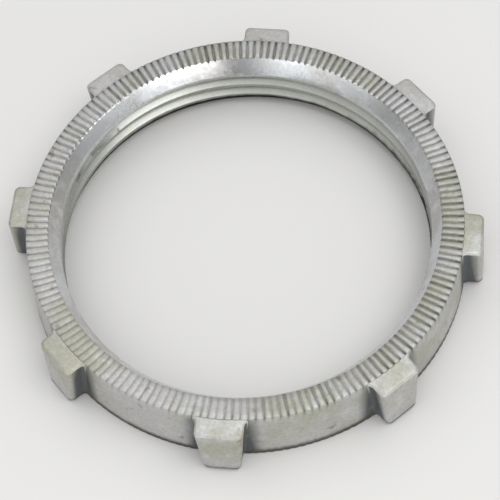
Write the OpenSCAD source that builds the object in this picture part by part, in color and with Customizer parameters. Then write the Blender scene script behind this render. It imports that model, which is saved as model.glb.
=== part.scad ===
// Conduit locknut: one die-cast ring with a threaded bore, radial teeth on both
// faces and driving lugs round the wall. Millimetres. The origin is on the bore's
// axis in the plane of the bottom face, +Z is the axis, and one lug points along +X.

/* [Ring] */
// Width of the ring from the crests of its thread to the rim of its top face
ring_w = 5.9; // [5:0.1:9]
// Height of the ring between its two toothed faces
ring_h = 13.5; // [11:0.5:18]
// Angle by which the outer wall widens downwards, so that the casting leaves its mould
wall_draft = 3; // [0:0.5:4]
// Width of the chamfer on the outer edges of both faces
edge_break = 0.35; // [0.2:0.05:0.5]

/* [Bore and thread] */
// Diameter of the bore over the crests of its thread
bore_d = 69.2; // [66:0.2:71]
// Rise of the right-hand thread in one turn
thread_pitch = 3.175; // [2.5:0.025:3.6]
// Depth of the thread's groove behind the crests
thread_depth = 1.45; // [1:0.05:1.6]
// Width of the flat left on each crest
thread_crest = 0.8; // [0.5:0.05:1.2]
// Turn of the thread about the axis
thread_turn = 180; // [0:5:355]
// Turn over which the groove rises out of the wall, just below the top lead-in
thread_runout = 36; // [12:6:90]
// Radial width of the machined lead-in at the top
top_lead_w = 1.85; // [1.7:0.05:2.3]
// Height of the machined lead-in at the top
top_lead_h = 3.6; // [2:0.1:4.5]
// Radial width of the machined lead-in at the bottom
bottom_lead_w = 1.7; // [1.7:0.05:2.3]
// Height of the machined lead-in at the bottom
bottom_lead_h = 2.4; // [1.5:0.1:3.5]

/* [Teeth] */
// Number of radial teeth on each face
tooth_count = 180; // [120:4:200]
// Depth of the gaps between the teeth
tooth_depth = 0.45; // [0.3:0.05:0.6]
// Width of a gap at the face
tooth_gap = 0.7; // [0.5:0.05:1]
// Width of a gap at its floor
tooth_floor = 0.15; // [0.1:0.05:0.3]

/* [Lugs] */
// Number of driving lugs round the wall
lug_count = 8; // [4:1:10]
// Distance that a lug reaches out from the wall
lug_reach = 3.4; // [2:0.1:6]
// Width of a lug at its top
lug_top_w = 8.8; // [6:0.1:12]
// Width of a lug at its bottom
lug_bottom_w = 6.8; // [5:0.1:10]
// Depth of a lug's top below the top face, measured at the wall
lug_drop = 0.7; // [0.65:0.05:2]
// Height of a lug's bottom above the bottom face
lug_rise = 1; // [0.7:0.1:3]
// Outward slope of a lug's top
lug_slope = 12; // [0:1:20]
// Radius of a lug's upright corners
lug_corner = 0.9; // [0.7:0.1:1.5]
// Radius along a lug's top and bottom edges
lug_edge = 0.6; // [0.3:0.1:0.65]
// Radius of the fillet where a lug meets the wall
lug_fillet = 1.1; // [0.6:0.1:1.5]

/* [Hidden] */
zinc_grey = [0.69, 0.69, 0.67];

// Small overshoot that carries a cut past the surface it opens
past = 0.3;
// Steps in a quarter round
quarter_steps = 4;

bore_r = bore_d / 2;
ring_r = bore_r + ring_w;
base_r = ring_r + ring_h * tan(wall_draft);
root_r = bore_r + thread_depth;

// Groove of the thread: its flanks lean 30 degrees, so it narrows towards the root
flank = tan(30);
groove_mouth = thread_pitch - thread_crest;
groove_root = max(0.2, groove_mouth - 2 * thread_depth * flank);
thread_steps = 60;
runout_steps = thread_runout * thread_steps / 360;
// The groove starts below the bottom face and ends just under the top lead-in
thread_low = -groove_mouth / 2;
thread_high = ring_h - top_lead_h - groove_mouth / 2;

lug_top = ring_h - lug_drop;
lug_floor = lug_rise;
// Direction from the centre of a lug's fillet to the point where it leaves the wall
fillet_from = 200;
// Depth inside the wall at which the fillet starts
fillet_sunk = 0.22 * lug_fillet;

function wall_r(z) = base_r + (ring_r - base_r) * z / ring_h;

// Points of an arc about c, from angle a to angle b
function arc(c, r, a, b) = [
    for (i = [0 : quarter_steps])
        let (t = a + (b - a) * i / quarter_steps)
        c + r * [cos(t), sin(t)]
];

// Section of the ring in radius and height
ring_section = concat(
    [[bore_r, bottom_lead_h], [bore_r + bottom_lead_w, 0]],
    [[base_r - edge_break, 0], [wall_r(edge_break), edge_break]],
    [[wall_r(ring_h - edge_break), ring_h - edge_break], [ring_r - edge_break, ring_h]],
    [[bore_r + top_lead_w, ring_h], [bore_r, ring_h - top_lead_h]]
);

module ring_body() {
    rotate_extrude($fn = 240) polygon(ring_section);
}

// Plan of half a lug, from the wall outwards: the fillet, the side and the corner
function lug_side(half_w, wall, reach) =
    let (
        foot_y = half_w + lug_fillet * (1 + sin(fillet_from)),
        foot_x = sqrt(wall * wall - foot_y * foot_y) - fillet_sunk,
        fillet_x = foot_x - lug_fillet * cos(fillet_from)
    )
    concat(
        [[foot_x - past, foot_y]],
        arc([fillet_x, half_w + lug_fillet], lug_fillet, fillet_from, 270),
        arc([wall + reach - lug_corner, half_w - lug_corner], lug_corner, 90, 0)
    );

// Whole plan of a lug, made by mirroring one half about the X axis
function lug_plan(half_w, wall, reach) =
    let (side = lug_side(half_w, wall, reach), last = len(side) - 1)
    concat(side, [for (i = [last : -1 : 0]) [side[i][0], -side[i][1]]]);

// One level of a lug at height z. The plan shrinks by inset, and lean tips it outwards.
function lug_level(z, inset, lean) =
    let (
        share = (z - lug_floor) / (lug_top - lug_floor),
        half_w = (lug_bottom_w + (lug_top_w - lug_bottom_w) * share) / 2
    )
    [
        for (p = lug_plan(half_w - inset, wall_r(z), lug_reach - inset))
            [p[0], p[1], z - lean * tan(lug_slope) * (p[0] - ring_r)]
    ];

module lug() {
    levels = concat(
        [
            for (i = [0 : quarter_steps])
                let (t = 90 * i / quarter_steps)
                lug_level(lug_floor + lug_edge * (1 - cos(t)), lug_edge * (1 - sin(t)), 0)
        ],
        [
            for (i = [0 : quarter_steps])
                let (t = 90 * i / quarter_steps)
                lug_level(lug_top - lug_edge * (1 - sin(t)), lug_edge * (1 - cos(t)), 1)
        ]
    );
    n = len(levels[0]);
    half = n / 2;
    top = len(levels) - 1;
    polyhedron(
        points = [for (level = levels) each level],
        faces = concat(
            // Strips from side to side close the bottom and the top
            [for (j = [0 : half - 2]) [n - 1 - j, n - 2 - j, j + 1, j]],
            [for (j = [0 : half - 2]) [j, j + 1, n - 2 - j, n - 1 - j] + top * n * [1, 1, 1, 1]],
            [
                // All bands are flat quads, apart from the middle one, whose top leans
                for (k = [0 : top - 1], j = [0 : n - 1])
                    let (a = k * n + j, b = k * n + (j + 1) % n)
                    each k == quarter_steps
                        ? [[a, b, a + n], [b, b + n, a + n]]
                        : [[a, b, b + n, a + n]]
            ]
        )
    );
}

module lugs() {
    for (i = [0 : lug_count - 1]) rotate(i * 360 / lug_count) lug();
}

// Gap between two teeth: a straight radial groove with leaning sides
module tooth_gap_cut() {
    from_r = bore_r - past;
    side_slope = (tooth_gap - tooth_floor) / tooth_depth / 2;
    mouth = tooth_gap / 2 + past * side_slope;
    translate([from_r, 0, 0])
        rotate([90, 0, 90])
        linear_extrude(base_r + past - from_r)
        polygon([
            [-mouth, past],
            [mouth, past],
            [tooth_floor / 2, -tooth_depth],
            [-tooth_floor / 2, -tooth_depth]
        ]);
}

module tooth_gaps() {
    for (i = [0 : tooth_count - 1])
        rotate((i + 0.5) * 360 / tooth_count) {
            translate([0, 0, ring_h]) tooth_gap_cut();
            mirror([0, 0, 1]) tooth_gap_cut();
        }
}

// How far the section of the groove has moved inwards, with this many steps left to its end
function runout(steps_left) =
    (thread_depth + past / 2) * max(0, 1 - steps_left / runout_steps);

// Helical groove of the thread, swept as a ring of four corners at each step
module thread_groove() {
    turns = (thread_high - thread_low) / thread_pitch;
    last = floor(turns * thread_steps);
    mouth = groove_mouth / 2 + past * flank;
    root = groove_root / 2;
    corners = [
        [bore_r - past, -mouth],
        [root_r, -root],
        [root_r, root],
        [bore_r - past, mouth]
    ];
    polyhedron(
        points = [
            for (i = [0 : last])
                let (
                    t = thread_turn + i * 360 / thread_steps,
                    z = thread_low + i * thread_pitch / thread_steps,
                    inward = runout(last - i)
                )
                for (c = corners)
                    let (r = c[0] - inward)
                    [r * cos(t), r * sin(t), z + c[1]]
        ],
        faces = concat(
            [[3, 2, 1, 0]],
            [[for (j = [0 : 3]) last * 4 + j]],
            [
                for (i = [0 : last - 1], j = [0 : 3])
                    let (a = i * 4 + j, b = i * 4 + (j + 1) % 4)
                    each [[a, b, a + 4], [b, b + 4, a + 4]]
            ]
        )
    );
}

module locknut() {
    color(zinc_grey)
        difference() {
            union() {
                ring_body();
                lugs();
            }
            tooth_gaps();
            thread_groove();
        }
}

locknut();
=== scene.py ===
import math

import bmesh
import bpy
from mathutils import Matrix, Vector


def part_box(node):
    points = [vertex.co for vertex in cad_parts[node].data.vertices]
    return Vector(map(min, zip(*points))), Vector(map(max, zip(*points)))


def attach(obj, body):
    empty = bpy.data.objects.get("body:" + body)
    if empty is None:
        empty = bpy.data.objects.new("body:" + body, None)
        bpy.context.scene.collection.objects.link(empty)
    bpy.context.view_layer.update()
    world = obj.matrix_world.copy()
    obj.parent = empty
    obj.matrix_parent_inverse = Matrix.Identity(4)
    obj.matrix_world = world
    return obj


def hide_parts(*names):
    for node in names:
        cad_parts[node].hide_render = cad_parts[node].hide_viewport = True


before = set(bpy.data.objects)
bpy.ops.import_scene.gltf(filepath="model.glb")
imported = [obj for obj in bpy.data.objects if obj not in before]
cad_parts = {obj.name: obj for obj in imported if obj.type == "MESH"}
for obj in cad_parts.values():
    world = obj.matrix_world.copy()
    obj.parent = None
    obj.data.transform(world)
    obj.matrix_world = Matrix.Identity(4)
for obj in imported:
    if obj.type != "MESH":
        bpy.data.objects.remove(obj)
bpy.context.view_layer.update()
nutLow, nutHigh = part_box("locknut")
print("frame loaded, nut from", nutLow, "to", nutHigh)

mm = 0.001
turn = 2 * math.pi

# The nut's own sizes, in metres. Its height comes from the frame.
nut = {
    "height": nutHigh[2] - nutLow[2],
    "ringRadius": 40.5 * mm,
    "boreRadius": 34.6 * mm,
    "wallDraft": math.tan(math.radians(3)),
    "edgeRound": 0.35 * mm,
    "topLeadWidth": 1.85 * mm,
    "topLeadHeight": 3.6 * mm,
    "bottomLeadWidth": 1.7 * mm,
    "bottomLeadHeight": 2.4 * mm,
}

teeth = {
    "count": 180,
    "depth": 0.45 * mm,
    "gapWidth": 0.7 * mm,
    "gapFloor": 0.15 * mm,
    "edgeRound": 0.09 * mm,
    "unevenness": 0.4,  # share by which the gaps' depths differ
    "stray": 0.07 * mm,  # how far a gap stands from its even place
    "wear": 0.62,  # share of their depth that is lost on the worn side
    "wornSide": math.radians(232),
    "rimShare": 0.5,  # share of its depth that a top gap keeps at the rim
    "darkening": 0.1,  # share by which the faces are darkened all over, in the painted shade's colour
    "seed": 4,
}

thread = {
    "pitch": 3.175 * mm,
    "depth": 1.45 * mm,
    "crest": 0.8 * mm,
    "turn": math.radians(180),
    "edgeRound": 0.06 * mm,
    "runout": math.radians(36),  # turn over which the groove rises out of the wall below the top lead-in
}

lugs = {
    "count": 8,
    "reach": 3.37 * mm,
    "topWidth": 8.8 * mm,
    "bottomWidth": 6.8 * mm,
    "topDrop": 0.3 * mm,
    "bottomRise": 0.6 * mm,
    "topSlope": math.tan(math.radians(4)),
    "corner": 1.0 * mm,
    "edge": 0.6 * mm,
    "fillet": 1.3 * mm,
    "sunk": 0.12 * mm,
    "steps": 6,
    "wallShade": 0.16,  # share of painted shade on the wall and on the lugs' faces, below their tops
}


# Sums with node sockets


class Wire:
    # one output of a node, which can be added, multiplied and so on
    def __init__(self, tree, socket):
        self.tree = tree
        self.socket = socket

    def __add__(self, other):
        return doMath(self.tree, "ADD", self, other)

    def __radd__(self, other):
        return doMath(self.tree, "ADD", other, self)

    def __sub__(self, other):
        return doMath(self.tree, "SUBTRACT", self, other)

    def __rsub__(self, other):
        return doMath(self.tree, "SUBTRACT", other, self)

    def __mul__(self, other):
        return doMath(self.tree, "MULTIPLY", self, other)

    def __rmul__(self, other):
        return doMath(self.tree, "MULTIPLY", other, self)

    def __truediv__(self, other):
        return doMath(self.tree, "DIVIDE", self, other)


def feed(tree, socket, value):
    if isinstance(value, Wire):
        tree.links.new(value.socket, socket)
    else:
        socket.default_value = value


def doMath(tree, operation, *values):
    node = tree.nodes.new("ShaderNodeMath")
    node.operation = operation
    for socket, value in zip(node.inputs, values):
        feed(tree, socket, value)
    return Wire(tree, node.outputs[0])


def addNode(tree, kind, settings=None, **inputs):
    node = tree.nodes.new(kind)
    for name, value in (settings or {}).items():
        setattr(node, name, value)
    for name, value in inputs.items():
        feed(tree, node.inputs[name.replace("_", " ")], value)
    return node


def outOf(node, name=0):
    return Wire(node.id_data, node.outputs[name])


def pick(tree, index, values):
    # the value that stands at this place in a short list
    node = tree.nodes.new("GeometryNodeIndexSwitch")
    node.data_type = "FLOAT"
    while len(node.index_switch_items) < len(values):
        node.index_switch_items.new()
    feed(tree, node.inputs[0], index)
    for socket, value in zip(list(node.inputs)[1:], values):
        feed(tree, socket, value)
    return outOf(node)


def newTree(name, inputs):
    tree = bpy.data.node_groups.new(name, "GeometryNodeTree")
    tree.interface.new_socket("Geometry", in_out="INPUT", socket_type="NodeSocketGeometry")
    tree.interface.new_socket("Geometry", in_out="OUTPUT", socket_type="NodeSocketGeometry")
    for label, kind in inputs.items():
        tree.interface.new_socket(label, in_out="INPUT", socket_type="NodeSocket" + kind)
    given = tree.nodes.new("NodeGroupInput")
    return tree, {socket.name: Wire(tree, socket) for socket in given.outputs if socket.name}


def grow(name, tree, values, start=None):
    # runs a tree on a new object and keeps its result as a plain mesh
    carrier = bpy.data.objects.new(name + "Carrier", start or bpy.data.meshes.new(name + "Start"))
    bpy.context.scene.collection.objects.link(carrier)
    modifier = carrier.modifiers.new(name, "NODES")
    modifier.node_group = tree
    for item in tree.interface.items_tree:
        if item.item_type == "SOCKET" and item.in_out == "INPUT" and item.name in values:
            modifier[item.identifier] = values[item.name]
    bpy.context.view_layer.update()
    graph = bpy.context.evaluated_depsgraph_get()
    ready = carrier.evaluated_get(graph)
    mesh = bpy.data.meshes.new_from_object(ready, preserve_all_data_layers=True, depsgraph=graph)
    mesh.name = name
    if mesh.materials and mesh.materials[0] is None:
        mesh.materials.pop(index=0)  # the tree leaves an empty first slot
    carrier.modifiers.remove(modifier)
    bpy.data.objects.remove(carrier)
    piece = bpy.data.objects.new(name, mesh)
    bpy.context.scene.collection.objects.link(piece)
    return piece


# Materials


def newShaderGroup(name, inputs, outputs):
    tree = bpy.data.node_groups.new(name, "ShaderNodeTree")
    for label, (kind, value) in inputs.items():
        socket = tree.interface.new_socket(label, in_out="INPUT", socket_type="NodeSocket" + kind)
        socket.default_value = value
    for label, kind in outputs.items():
        tree.interface.new_socket(label, in_out="OUTPUT", socket_type="NodeSocket" + kind)
    given = tree.nodes.new("NodeGroupInput")
    result = tree.nodes.new("NodeGroupOutput")
    return tree, {s.name: Wire(tree, s) for s in given.outputs if s.name}, result


def mixColors(tree, share, first, second, blend="MIX"):
    node = tree.nodes.new("ShaderNodeMix")
    node.data_type = "RGBA"
    node.blend_type = blend
    feed(tree, node.inputs["Factor"], share)
    feed(tree, node.inputs[6], first)
    feed(tree, node.inputs[7], second)
    return Wire(tree, node.outputs[2])


def ramp(tree, value, low, high):
    node = addNode(tree, "ShaderNodeMapRange", {"interpolation_type": "SMOOTHSTEP"})
    feed(tree, node.inputs["Value"], value)
    node.inputs["From Min"].default_value = low
    node.inputs["From Max"].default_value = high
    return Wire(tree, node.outputs[0])


def noise(tree, place, scale, detail=3.0, roughness=0.5):
    node = tree.nodes.new("ShaderNodeTexNoise")
    feed(tree, node.inputs["Vector"], place)
    feed(tree, node.inputs["Scale"], scale)
    node.inputs["Detail"].default_value = detail
    node.inputs["Roughness"].default_value = roughness
    return Wire(tree, node.outputs["Fac"])


def grey(level, warm=0.0):
    return (level + warm, level, level - 1.4 * warm, 1.0)


# Cloudy stains of bare zinc, shared by the cast skin and the machined bore
def makeZincClouds():
    tree, given, result = newShaderGroup(
        "zincClouds",
        {
            "Vector": ("Vector", (0, 0, 0)),
            "Plain": ("Color", grey(0.45)),
            "Stain": ("Color", grey(0.40, 0.02)),
            "Bloom": ("Color", grey(0.52)),
            "Scale": ("Float", 60.0),
        },
        {"Color": "Color"},
    )
    wide = noise(tree, given["Vector"], given["Scale"], 4.0, 0.6)
    fine = noise(tree, given["Vector"], given["Scale"] * 5.0, 3.0, 0.6)
    stained = mixColors(tree, ramp(tree, wide, 0.42, 0.62), given["Plain"], given["Stain"])
    bloomed = mixColors(tree, ramp(tree, fine, 0.5, 0.75) * 0.7, stained, given["Bloom"])
    speckle = noise(tree, given["Vector"], 1700.0, 2.0) * 0.5 + 0.75
    feed(tree, result.inputs["Color"], mixColors(tree, 1.0, bloomed, speckle, "MULTIPLY"))
    return tree


# Fine grain and small hollows, also shared
def makeZincGrain():
    tree, given, result = newShaderGroup(
        "zincGrain",
        {"Vector": ("Vector", (0, 0, 0)), "Grain Scale": ("Float", 2600.0), "Lump Scale": ("Float", 420.0)},
        {"Height": "Float"},
    )
    grain = noise(tree, given["Vector"], given["Grain Scale"], 3.0, 0.6)
    lump = noise(tree, given["Vector"], given["Lump Scale"], 3.0, 0.5)
    feed(tree, result.inputs["Height"], grain * 0.45 + lump * 0.55)
    return tree


zincClouds = makeZincClouds()
zincGrain = makeZincGrain()


def newMaterial(name):
    material = bpy.data.materials.new(name)
    material.use_nodes = True
    tree = material.node_tree
    shader = tree.nodes["Principled BSDF"]
    place = outOf(tree.nodes.new("ShaderNodeTexCoord"), "Object")
    return material, tree, shader, place


def addGroup(tree, group, **inputs):
    node = tree.nodes.new("ShaderNodeGroup")
    node.node_tree = group
    for name, value in inputs.items():
        feed(tree, node.inputs[name.replace("_", " ")], value)
    return node


castSkin = {
    "plain": grey(0.47, 0.006),
    "stain": (0.40, 0.395, 0.335, 1.0),
    "bloom": (0.56, 0.575, 0.57, 1.0),
    # colour of the painted shade in the gaps, in the corners beside the lugs and on the walls
    "paintedShade": (0.055, 0.065, 0.07, 1.0),
    # painted shade near the floor, up to footHeights
    "footShade": grey(0.05, 0.004),
    "footHeights": (0.7 * mm, 2.3 * mm),
    "pitBrown": (0.2, 0.15, 0.105, 1.0),
    "roughness": 0.5,
    "metallic": 0.65,
    "bump": 0.6,
}


def nearFloor(tree, place, dark, clear):
    # 1 up to the height called dark, fading unevenly to 0 at the height called clear
    level = outOf(addNode(tree, "ShaderNodeSeparateXYZ", Vector=place), "Z")
    ragged = level + (noise(tree, place, 500.0, 2.0) - 0.5) * 0.8 * mm
    return 1.0 - ramp(tree, ragged, dark, clear)


def notBelow(tree):
    # 0 where the surface faces the floor, so that the underside gets none of the painted shade
    normal = outOf(tree.nodes.new("ShaderNodeTexCoord"), "Normal")
    facing = outOf(addNode(tree, "ShaderNodeSeparateXYZ", Vector=normal), "Z")
    return ramp(tree, facing, -0.5, -0.25)


def makeCastZinc():
    material, tree, shader, place = newMaterial("castZinc")
    clouds = addGroup(
        tree, zincClouds, Vector=place, Plain=castSkin["plain"], Stain=castSkin["stain"],
        Bloom=castSkin["bloom"], Scale=55.0,
    )
    # painted shade, as strong as the stored attribute says
    darkening = outOf(addNode(tree, "ShaderNodeAttribute", {"attribute_name": "paintedShade"}), "Fac")
    shaded = mixColors(tree, doMath(tree, "MINIMUM", darkening * 0.65, 0.92), outOf(clouds), castSkin["paintedShade"])
    pits = ramp(tree, noise(tree, place, 380.0, 2.0), 0.63, 0.76)
    pitted = mixColors(tree, pits * 0.6, shaded, castSkin["pitBrown"])
    # painted shade near the floor, fading out between the two foot heights
    foot = nearFloor(tree, place, *castSkin["footHeights"]) * notBelow(tree)
    feed(tree, shader.inputs["Base Color"], mixColors(tree, foot, pitted, castSkin["footShade"]))
    shader.inputs["Metallic"].default_value = castSkin["metallic"]
    patch = noise(tree, place, 90.0, 3.0)
    feed(tree, shader.inputs["Roughness"], patch * 0.2 + (castSkin["roughness"] - 0.1))
    grain = addGroup(tree, zincGrain, Vector=place, Grain_Scale=2400.0, Lump_Scale=420.0)
    bump = addNode(tree, "ShaderNodeBump", Height=outOf(grain) - pits * 0.6)
    bump.inputs["Strength"].default_value = castSkin["bump"]
    bump.inputs["Distance"].default_value = 0.06 * mm
    feed(tree, shader.inputs["Normal"], outOf(bump))
    return material


machinedSkin = {
    "plain": (0.56, 0.575, 0.59, 1.0),
    "stain": (0.46, 0.45, 0.44, 1.0),
    "bloom": (0.66, 0.67, 0.68, 1.0),
    # painted shade in the thread's roots
    "rootShade": (0.12, 0.125, 0.11, 1.0),
    # painted shade at the bottom of the bore, up to footHeights
    "footShade": grey(0.03, 0.002),
    "footHeights": (2.9 * mm, 3.6 * mm),
    "threadTone": (0.31, 0.32, 0.285, 1.0),
    "threadHeights": (9.3 * mm, 10.1 * mm),
    "roughness": 0.27,
    "lines": 0.25,
}


def makeMachinedZinc():
    material, tree, shader, place = newMaterial("machinedZinc")
    clouds = addGroup(
        tree, zincClouds, Vector=place, Plain=machinedSkin["plain"], Stain=machinedSkin["stain"],
        Bloom=machinedSkin["bloom"], Scale=70.0,
    )
    # painted shade in the thread's roots, as strong as the stored attribute says
    darkening = outOf(addNode(tree, "ShaderNodeAttribute", {"attribute_name": "paintedShade"}), "Fac")
    shaded = mixColors(tree, darkening * 0.8, outOf(clouds), machinedSkin["rootShade"])
    threaded = nearFloor(tree, place, *machinedSkin["threadHeights"])
    dull = mixColors(tree, threaded * 0.75, shaded, machinedSkin["threadTone"])
    # painted shade at the bottom of the bore
    foot = nearFloor(tree, place, *machinedSkin["footHeights"]) * notBelow(tree)
    feed(tree, shader.inputs["Base Color"], mixColors(tree, foot, dull, machinedSkin["footShade"]))
    shader.inputs["Metallic"].default_value = 0.9
    patch = noise(tree, place, 120.0, 3.0)
    feed(tree, shader.inputs["Roughness"], patch * 0.16 + (machinedSkin["roughness"] - 0.08))
    # lines left by the turning tool run round the axis
    axes = addNode(tree, "ShaderNodeSeparateXYZ", Vector=place)
    x, y, z = (outOf(axes, name) for name in "XYZ")
    radius = doMath(tree, "SQRT", x * x + y * y)
    angle = doMath(tree, "ARCTAN2", y, x)
    across = addNode(tree, "ShaderNodeCombineXYZ", X=radius * 5.0, Y=z * 5.0, Z=angle * 0.001)
    lines = noise(tree, outOf(across), 1500.0, 2.0)
    grain = addGroup(tree, zincGrain, Vector=place, Grain_Scale=2800.0, Lump_Scale=300.0)
    bump = addNode(tree, "ShaderNodeBump", Height=lines * 0.7 + outOf(grain) * 0.3)
    bump.inputs["Strength"].default_value = machinedSkin["lines"]
    bump.inputs["Distance"].default_value = 0.03 * mm
    feed(tree, shader.inputs["Normal"], outOf(bump))
    return material


castZinc = makeCastZinc()
machinedZinc = makeMachinedZinc()
print("materials made")


# The ring: four strips that meet edge to edge, wall, top face, bore and bottom face


def joinStrips(tree, strips):
    node = tree.nodes.new("GeometryNodeJoinGeometry")
    for strip in reversed(strips):
        tree.links.new(strip, node.inputs[0])
    return node.outputs[0]


def makeRingTree():
    columnsPerGap = 6
    tree, size = newTree(
        "ringOfZinc",
        {
            "Height": "Float", "Ring Radius": "Float", "Bore Radius": "Float", "Wall Draft": "Float",
            "Edge Round": "Float", "Top Lead Width": "Float", "Top Lead Height": "Float",
            "Bottom Lead Width": "Float", "Bottom Lead Height": "Float", "Tooth Count": "Int",
            "Tooth Depth": "Float", "Gap Width": "Float", "Gap Floor": "Float", "Tooth Round": "Float",
            "Unevenness": "Float", "Stray": "Float", "Wear": "Float", "Rim Share": "Float", "Worn Side": "Float", "Seed": "Int",
            "Pitch": "Float", "Thread Depth": "Float", "Crest": "Float", "Thread Turn": "Float",
            "Thread Round": "Float", "Runout": "Float",
            "Lug Count": "Int", "Corner From": "Float", "Corner Width": "Float",
            "Wall Shade": "Float", "Face Darkening": "Float",
            "Cast": "Material", "Machined": "Material",
        },
    )
    height = size["Height"]

    def strip(rows, material, place):
        # place gives radius, angle, height and dirt from a column and a row
        columns = size["Tooth Count"] * columnsPerGap
        grid = addNode(tree, "GeometryNodeMeshGrid", Vertices_X=columns + 1.0, Vertices_Y=rows)
        index = outOf(tree.nodes.new("GeometryNodeInputIndex"))
        column = doMath(tree, "FLOOR", (index + 0.5) / rows)
        row = doMath(tree, "ROUND", index - column * rows)
        radius, angle, level, darkening = place(column, row)
        point = addNode(
            tree, "ShaderNodeCombineXYZ",
            X=radius * doMath(tree, "COSINE", angle), Y=radius * doMath(tree, "SINE", angle), Z=level,
        )
        moved = addNode(tree, "GeometryNodeSetPosition", Geometry=outOf(grid), Position=outOf(point))
        # each point keeps its share of painted shade
        marked = addNode(
            tree, "GeometryNodeStoreNamedAttribute", {"data_type": "FLOAT", "domain": "POINT"},
            Geometry=outOf(moved), Name="paintedShade", Value=darkening,
        )
        painted = addNode(tree, "GeometryNodeSetMaterial", Geometry=outOf(marked), Material=size[material])
        return painted.outputs[0]

    def gapAt(column, radius, seedStep):
        # angle of this column at a radius, how deep the gap is there, and the share of painted shade that the gap gets
        gap = doMath(tree, "FLOOR", (column + 0.5) / columnsPerGap)
        part = doMath(tree, "ROUND", column - gap * columnsPerGap)
        lean = (size["Gap Width"] - size["Gap Floor"]) * 0.5 / size["Tooth Depth"]
        edge = size["Gap Width"] * 0.5
        under = edge - size["Tooth Round"] * lean
        past = edge + size["Tooth Round"]
        floor = size["Gap Floor"] * 0.5
        across = pick(tree, part, [0 - past, 0 - under, 0 - floor, floor, under, past])
        share = size["Tooth Round"] / size["Tooth Depth"]
        deep = pick(tree, part, [0.0, share, 1.0, 1.0, share, 0.0])
        ownNumber = doMath(tree, "FLOORED_MODULO", gap, size["Tooth Count"])

        def chance(low, high, step):
            node = addNode(tree, "FunctionNodeRandomValue", {"data_type": "FLOAT"}, Seed=size["Seed"] + step)
            feed(tree, node.inputs[2], low)
            feed(tree, node.inputs[3], high)
            feed(tree, node.inputs["ID"], ownNumber)
            return outOf(node, 1)

        across = across + chance(0 - size["Stray"], size["Stray"], seedStep + 2)
        middle = (gap + 0.5) / size["Tooth Count"] * turn
        worn = (doMath(tree, "COSINE", middle - size["Worn Side"]) + 1.0) * 0.5
        kept = chance(1.0 - size["Unevenness"], 1.0, seedStep) * (1.0 - size["Wear"] * worn * worn)
        return middle + across / radius, deep * size["Tooth Depth"] * kept, deep * kept

    def wallRadius(level):
        return size["Ring Radius"] + (height - level) * size["Wall Draft"]

    leadEdges = {
        "top": size["Bore Radius"] + size["Top Lead Width"],
        "bottom": size["Bore Radius"] + size["Bottom Lead Width"],
    }
    rimRadius = {"top": size["Ring Radius"], "bottom": wallRadius(0.0)}
    rimShare = {"top": size["Rim Share"], "bottom": 1.0}
    innerRound = 0.05 * mm

    def leadRadius(side, level):
        word = side.capitalize()
        slope = size[word + " Lead Width"] / size[word + " Lead Height"]
        away = height - level if side == "top" else level
        return leadEdges[side] - away * slope

    def toothedFace(side):
        seedStep = 0 if side == "top" else 1
        edge = size["Edge Round"]
        # rows run from the rim to the bore; this is how far below the face each lies
        rowsDown = [edge, edge * 0.3, 0.0, 0.0, 0.0, 0.0, innerRound]

        def place(column, row):
            if side == "bottom":
                row = 6.0 - row
            face = rimRadius[side] - leadEdges[side]
            radius = pick(tree, row, [
                rimRadius[side], rimRadius[side] - edge * 0.3, rimRadius[side] - edge,
                rimRadius[side] - face * 0.35, rimRadius[side] - face * 0.7,
                leadEdges[side] + innerRound, leadEdges[side],
            ])
            angle, down, deep = gapAt(column, radius, seedStep)
            rim = rimShare[side]
            near = 1.0 - (1.0 - rim) * 0.3
            down = down * pick(tree, row, [rim, rim, rim, near, 1.0, 1.0, 1.0]) + pick(tree, row, rowsDown)
            level = height - down if side == "top" else down
            # the first and last rows lie on the wall and on the lead-in
            atRim = doMath(tree, "LESS_THAN", row, 0.5)
            atBore = doMath(tree, "GREATER_THAN", row, 5.5)
            radius = radius + atRim * (wallRadius(level) - radius) + atBore * (leadRadius(side, level) - radius)
            # painted shade in a gap, darkest at its ends, over an even darkening of the whole face
            return radius, angle, level, deep * pick(tree, row, [2.4, 2.2, 1.8, 0.9, 0.7, 1.0, 1.4]) + size["Face Darkening"]

        return strip(7, "Cast", place)

    def wall():
        rows = 9

        def place(column, row):
            angle, topDown, deepTop = gapAt(column, rimRadius["top"], 0)
            bottomAngle, bottomUp, deepBottom = gapAt(column, rimRadius["bottom"], 1)
            share = row / (rows - 1)
            low = bottomUp + size["Edge Round"]
            high = height - topDown * rimShare["top"] - size["Edge Round"]
            level = low + (high - low) * share
            round = bottomAngle + (angle - bottomAngle) * share
            # painted shade lies in the corners beside the lugs, runs up from the bottom gaps and covers the whole wall
            # a little
            lugStep = doMath(tree, "DIVIDE", turn, size["Lug Count"])
            fromLug = doMath(tree, "FLOORED_MODULO", round + lugStep * 0.5, lugStep) - lugStep * 0.5
            besideLug = doMath(tree, "ABSOLUTE", fromLug) * size["Ring Radius"] - size["Corner From"]
            corner = doMath(tree, "MAXIMUM", 1.0 - besideLug / size["Corner Width"], 0.0)
            corner = corner * (2.0 - share)
            foot = deepBottom * doMath(tree, "LESS_THAN", row, 0.5) * 1.3
            return wallRadius(level), round, level, doMath(tree, "MAXIMUM", corner, foot) + size["Wall Shade"]

        return strip(rows, "Cast", place)

    def bore():
        # one turn of the thread is ten rows: across the crest, down a flank, over the root and up again
        flank = math.tan(math.radians(30))
        run = size["Thread Depth"] * flank
        root = size["Pitch"] - size["Crest"] - run * 2.0
        soft = size["Thread Round"]
        crest = size["Crest"]
        steps = [
            0.0, soft, crest - soft, crest, crest + run * 0.5,
            crest + run, crest + run + root * 0.5, crest + run + root, crest + run * 1.5 + root,
            size["Pitch"] - soft * 0.3,
        ]
        depth = size["Thread Depth"]
        hollows = [
            soft, 0.0, 0.0, soft, depth * 0.5, depth * 0.96, depth, depth * 0.96, depth * 0.5, soft * 1.5,
        ]
        turns = 8

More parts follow.
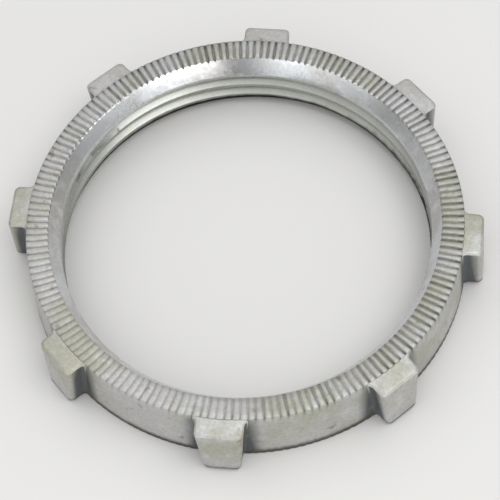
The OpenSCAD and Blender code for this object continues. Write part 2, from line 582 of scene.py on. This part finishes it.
        def place(column, row):
            angle, topDown, deepTop = gapAt(column, leadEdges["top"], 0)
            bottomAngle, bottomUp, deepBottom = gapAt(column, leadEdges["bottom"], 1)
            part = doMath(tree, "FLOORED_MODULO", row, 10.0)
            whole = doMath(tree, "FLOOR", (row + 0.5) / 10.0)
            # the groove's middle stands at this height where the angle is 0
            phase = size["Pitch"] * (size["Thread Turn"] / turn)
            start = height + size["Pitch"] * 1.0 + crest * 0.5 + phase * -1.0
            along = whole * size["Pitch"] + pick(tree, part, steps)
            raw = start - along + size["Pitch"] * angle / turn
            high = height - topDown - innerRound
            low = bottomUp + innerRound
            level = doMath(tree, "MINIMUM", doMath(tree, "MAXIMUM", raw, low), high)
            share = level / height
            # the thread keeps off the edges that the two faces share with the bore
            keepOff = 0.01 * mm
            within = doMath(tree, "GREATER_THAN", level, low + keepOff)
            within = within * doMath(tree, "LESS_THAN", level, high - keepOff)
            # towards its upper end the groove rises out of the wall
            grooveMiddle = start - whole * size["Pitch"] - (size["Pitch"] + crest) * 0.5
            grooveMiddle = grooveMiddle + size["Pitch"] * angle / turn
            grooveEnd = height - size["Top Lead Height"] - (size["Pitch"] - crest) * 0.5
            left = (grooveEnd - grooveMiddle) / (size["Pitch"] / turn) / size["Runout"]
            risen = doMath(tree, "MAXIMUM", 1.0 - left, 0.0) * (depth + 0.15 * mm)
            hollow = doMath(tree, "MAXIMUM", pick(tree, part, hollows) - risen, 0.0) * within
            plain = size["Bore Radius"] + hollow
            radius = doMath(tree, "MAXIMUM", plain, leadRadius("top", level))
            radius = doMath(tree, "MAXIMUM", radius, leadRadius("bottom", level))
            # painted shade in the thread's roots, as deep as the groove
            cut = doMath(tree, "LESS_THAN", radius, plain + 0.001 * mm)
            return radius, bottomAngle + (angle - bottomAngle) * share, level, cut * hollow / depth

        return strip(turns * 10 + 1, "Machined", place)

    joined = joinStrips(tree, [wall(), toothedFace("top"), bore(), toothedFace("bottom")])
    closed = tree.nodes.new("GeometryNodeMergeByDistance")
    tree.links.new(joined, closed.inputs["Geometry"])
    closed.inputs["Distance"].default_value = 0.0005 * mm
    result = tree.nodes.new("NodeGroupOutput")
    tree.links.new(closed.outputs[0], result.inputs[0])
    return tree


ring = grow(
    "ring",
    makeRingTree(),
    {
        "Height": nut["height"], "Ring Radius": nut["ringRadius"], "Bore Radius": nut["boreRadius"],
        "Wall Draft": nut["wallDraft"], "Edge Round": nut["edgeRound"],
        "Top Lead Width": nut["topLeadWidth"], "Top Lead Height": nut["topLeadHeight"],
        "Bottom Lead Width": nut["bottomLeadWidth"], "Bottom Lead Height": nut["bottomLeadHeight"],
        "Tooth Count": teeth["count"], "Tooth Depth": teeth["depth"], "Gap Width": teeth["gapWidth"],
        "Gap Floor": teeth["gapFloor"], "Tooth Round": teeth["edgeRound"],
        "Unevenness": teeth["unevenness"], "Stray": teeth["stray"],
        "Wear": teeth["wear"], "Rim Share": teeth["rimShare"], "Worn Side": teeth["wornSide"],
        "Seed": teeth["seed"], "Pitch": thread["pitch"], "Thread Depth": thread["depth"],
        "Crest": thread["crest"], "Thread Turn": thread["turn"], "Thread Round": thread["edgeRound"],
        "Runout": thread["runout"], "Lug Count": lugs["count"],
        "Corner From": lugs["topWidth"] / 2, "Corner Width": 2.6 * mm, "Wall Shade": lugs["wallShade"],
        "Face Darkening": teeth["darkening"],
        "Cast": castZinc, "Machined": machinedZinc,
    },
)
print("ring made,", len(ring.data.polygons), "faces")



# The driving lugs: one is lofted from plans of half its outline, and the tree sets them round the wall


def arc(middle, radius, start, end):
    points = []
    for step in range(lugs["steps"] + 1):
        angle = math.radians(start + (end - start) * step / lugs["steps"])
        points.append((middle[0] + radius * math.cos(angle), middle[1] + radius * math.sin(angle)))
    return points


def lugPlan(halfWidth, wall, reach):
    fillet = lugs["fillet"]
    footY = halfWidth + fillet * (1 + math.sin(math.radians(200)))
    footX = math.sqrt(wall**2 - footY**2) - lugs["sunk"]
    filletX = footX - fillet * math.cos(math.radians(200))
    side = [(footX - lugs["sunk"], footY)]
    side += arc((filletX, halfWidth + fillet), fillet, 200, 270)
    side += arc((wall + reach - lugs["corner"], halfWidth - lugs["corner"]), lugs["corner"], 90, 0)
    return side + [(x, -y) for x, y in reversed(side)]


def lugLevel(level, inset, lean):
    bottom = lugs["bottomRise"]
    top = nut["height"] - lugs["topDrop"]
    share = (level - bottom) / (top - bottom)
    halfWidth = (lugs["bottomWidth"] + (lugs["topWidth"] - lugs["bottomWidth"]) * share) / 2
    wall = nut["ringRadius"] + (nut["height"] - level) * nut["wallDraft"]
    plan = lugPlan(halfWidth - inset, wall, lugs["reach"] - inset)
    return [(x, y, level - lean * lugs["topSlope"] * (x - nut["ringRadius"])) for x, y in plan]


def makeLugMesh():
    edge = lugs["edge"]
    levels = []
    for step in range(lugs["steps"] + 1):
        angle = math.pi / 2 * step / lugs["steps"]
        inset, rise = edge * (1 - math.sin(angle)), edge * (1 - math.cos(angle))
        levels.append(lugLevel(lugs["bottomRise"] + rise, inset, 0))
    for step in range(lugs["steps"] + 1):
        angle = math.pi / 2 * step / lugs["steps"]
        inset, drop = edge * (1 - math.cos(angle)), edge * (1 - math.sin(angle))
        levels.append(lugLevel(nut["height"] - lugs["topDrop"] - drop, inset, 1))
    form = bmesh.new()
    loops = [[form.verts.new(point) for point in level] for level in levels]
    around = len(loops[0])
    for under, over in zip(loops, loops[1:]):
        for one in range(around):
            two = (one + 1) % around
            form.faces.new((under[one], under[two], over[two], over[one]))
    form.faces.new(loops[0])
    form.faces.new(loops[-1])
    bmesh.ops.recalc_face_normals(form, faces=form.faces)
    mesh = bpy.data.meshes.new("lugStart")
    form.to_mesh(mesh)
    form.free()
    # painted shade in the corners beside the lug, and a little on its faces below the top
    darkening = mesh.attributes.new("paintedShade", "FLOAT", "POINT")
    reach = lugs["reach"] * 0.8
    for point, mark in zip(mesh.vertices, darkening.data):
        wall = nut["ringRadius"] + (nut["height"] - point.co.z) * nut["wallDraft"]
        beside = abs(point.co.y) - lugs["bottomWidth"] / 2 + 0.2 * mm > 0
        below = point.co.z < nut["height"] - lugs["topDrop"] - lugs["edge"]
        deep = max(0.0, 1 - (point.co.x - wall) / reach) * (1.6 - point.co.z / nut["height"])
        mark.value = (deep * 3.0 if beside else 0.0) + lugs["wallShade"] if below else 0.0
    return mesh


def makeLugTree():
    tree, size = newTree("lugsOnWall", {"Lug Count": "Int", "Cast": "Material"})
    spots = addNode(tree, "GeometryNodePoints", Count=size["Lug Count"])
    index = outOf(tree.nodes.new("GeometryNodeInputIndex"))
    facing = addNode(tree, "ShaderNodeCombineXYZ", Z=index / size["Lug Count"] * turn)
    placed = addNode(
        tree, "GeometryNodeInstanceOnPoints", Points=outOf(spots), Instance=size["Geometry"],
        Rotation=outOf(facing),
    )
    real = addNode(tree, "GeometryNodeRealizeInstances", Geometry=outOf(placed))
    painted = addNode(tree, "GeometryNodeSetMaterial", Geometry=outOf(real), Material=size["Cast"])
    result = tree.nodes.new("NodeGroupOutput")
    tree.links.new(painted.outputs[0], result.inputs[0])
    return tree


lugRing = grow("lugRing", makeLugTree(), {"Lug Count": lugs["count"], "Cast": castZinc}, makeLugMesh())
print("lugs made,", len(lugRing.data.polygons), "faces")


# The lugs are part of the casting, so they join the ring as one piece
def joinPieces(name, pieces):
    with bpy.context.temp_override(
        active_object=pieces[0], object=pieces[0], selected_objects=pieces, selected_editable_objects=pieces
    ):
        bpy.ops.object.join()
    pieces[0].name = name
    pieces[0].data.name = name
    return pieces[0]


locknut = joinPieces("locknut_cast", [ring, lugRing])
locknut.data.shade_smooth()
locknut.data.set_sharp_from_angle(angle=math.radians(38))


def checkClosed(mesh):
    form = bmesh.new()
    form.from_mesh(mesh)
    openEdges = sum(1 for edge in form.edges if len(edge.link_faces) != 2)
    volume = form.calc_volume(signed=True)
    form.free()
    return openEdges, volume


print("open edges and volume:", checkClosed(locknut.data))

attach(locknut, "root")
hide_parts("locknut")


# Floor, light and camera

studio = {
    "floorSize": 4.0,
    "floorColor": (0.715, 0.71, 0.7, 1.0),
    "skyLow": 0.25,
    "skyHigh": 1.44,
    "brightest": (185, 88),  # azimuth and elevation of the sky's brightest part
    "backdrop": 0.8,
}


def towards(azimuth, elevation):
    # azimuth is counted from +X towards +Y, in degrees
    a, e = math.radians(azimuth), math.radians(elevation)
    return Vector((math.cos(a) * math.cos(e), math.sin(a) * math.cos(e), math.sin(e)))


def makeFloor():
    half = studio["floorSize"] / 2
    mesh = bpy.data.meshes.new("floor")
    mesh.from_pydata([(-half, -half, 0), (half, -half, 0), (half, half, 0), (-half, half, 0)], [], [(0, 1, 2, 3)])
    floor = bpy.data.objects.new("floor", mesh)
    bpy.context.scene.collection.objects.link(floor)
    material, tree, shader, place = newMaterial("palePaper")
    shader.inputs["Base Color"].default_value = studio["floorColor"]
    shader.inputs["Roughness"].default_value = 0.9
    shader.inputs["Specular IOR Level"].default_value = 0.1
    mesh.materials.append(material)


def makeSky():
    world = bpy.data.worlds.new("softbox")
    world.use_nodes = True
    bpy.context.scene.world = world
    tree = world.node_tree
    tree.nodes.clear()
    direction = outOf(tree.nodes.new("ShaderNodeTexCoord"), "Generated")
    facing = addNode(tree, "ShaderNodeVectorMath", {"operation": "DOT_PRODUCT"})
    feed(tree, facing.inputs[0], direction)
    facing.inputs[1].default_value = towards(*studio["brightest"])
    share = ramp(tree, outOf(facing, "Value"), 0.2, 1.05)
    level = share * (studio["skyHigh"] - studio["skyLow"]) + studio["skyLow"]
    seen = outOf(tree.nodes.new("ShaderNodeLightPath"), "Is Camera Ray")
    strength = level * (1.0 - seen) + seen * studio["backdrop"]
    glow = addNode(tree, "ShaderNodeBackground", Strength=strength)
    glow.inputs["Color"].default_value = (1, 1, 1, 1)
    out = tree.nodes.new("ShaderNodeOutputWorld")
    tree.links.new(glow.outputs[0], out.inputs["Surface"])


def addLamp(name, azimuth, elevation, size, power, tall=None, distance=1.0):
    # a lamp that is tall by another size than it is wide is a rectangle
    data = bpy.data.lights.new(name, "AREA")
    data.shape = "RECTANGLE" if tall else "DISK"
    data.size = size
    if tall:
        data.size_y = tall
    data.energy = power
    lamp = bpy.data.objects.new(name, data)
    bpy.context.scene.collection.objects.link(lamp)
    away = towards(azimuth, elevation)
    lamp.location = away * distance
    lamp.rotation_euler = away.to_track_quat("Z", "Y").to_euler()


view = {
    "azimuth": 11.6,
    "elevation": 60.3,
    "roll": -6.5,
    "distance": 8.19 * 40.5 * mm,
    "shiftRight": 0.027 * 40.5 * mm,
    "shiftUp": -0.144 * 40.5 * mm,
    "focalPixels": 1800.0,
    "imagePixels": 500.0,
    "sensor": 36.0,
}


def makeCamera():
    a, e, roll = (math.radians(view[key]) for key in ("azimuth", "elevation", "roll"))
    back = Vector((math.sin(a) * math.cos(e), -math.cos(a) * math.cos(e), math.sin(e)))
    level = Vector((math.cos(a), math.sin(a), 0))
    upright = back.cross(level)
    right = level * math.cos(roll) + upright * math.sin(roll)
    up = upright * math.cos(roll) - level * math.sin(roll)
    target = Vector((0, 0, nut["height"]))
    spot = target + back * view["distance"] + right * view["shiftRight"] + up * view["shiftUp"]
    data = bpy.data.cameras.new("camera")
    data.sensor_width = view["sensor"]
    data.lens = view["focalPixels"] / view["imagePixels"] * view["sensor"]
    data.clip_start = 0.01
    camera = bpy.data.objects.new("camera", data)
    bpy.context.scene.collection.objects.link(camera)
    axes = Matrix((right, up, back)).transposed().to_4x4()
    camera.matrix_world = Matrix.Translation(spot) @ axes
    bpy.context.scene.camera = camera


makeFloor()
makeSky()
addLamp("keyRight", 340, 66, 0.6, 1.9)
addLamp("windowRight", 345, 5, 0.5, 1.4, tall=0.2)
addLamp("windowFrontRight", 305, 5, 0.73, 3.0, tall=0.2)
addLamp("windowFrontLeft", 237, 5, 1.0, 3.0, tall=0.2)
makeCamera()
bpy.context.scene.view_settings.view_transform = "Standard"
print("studio set")
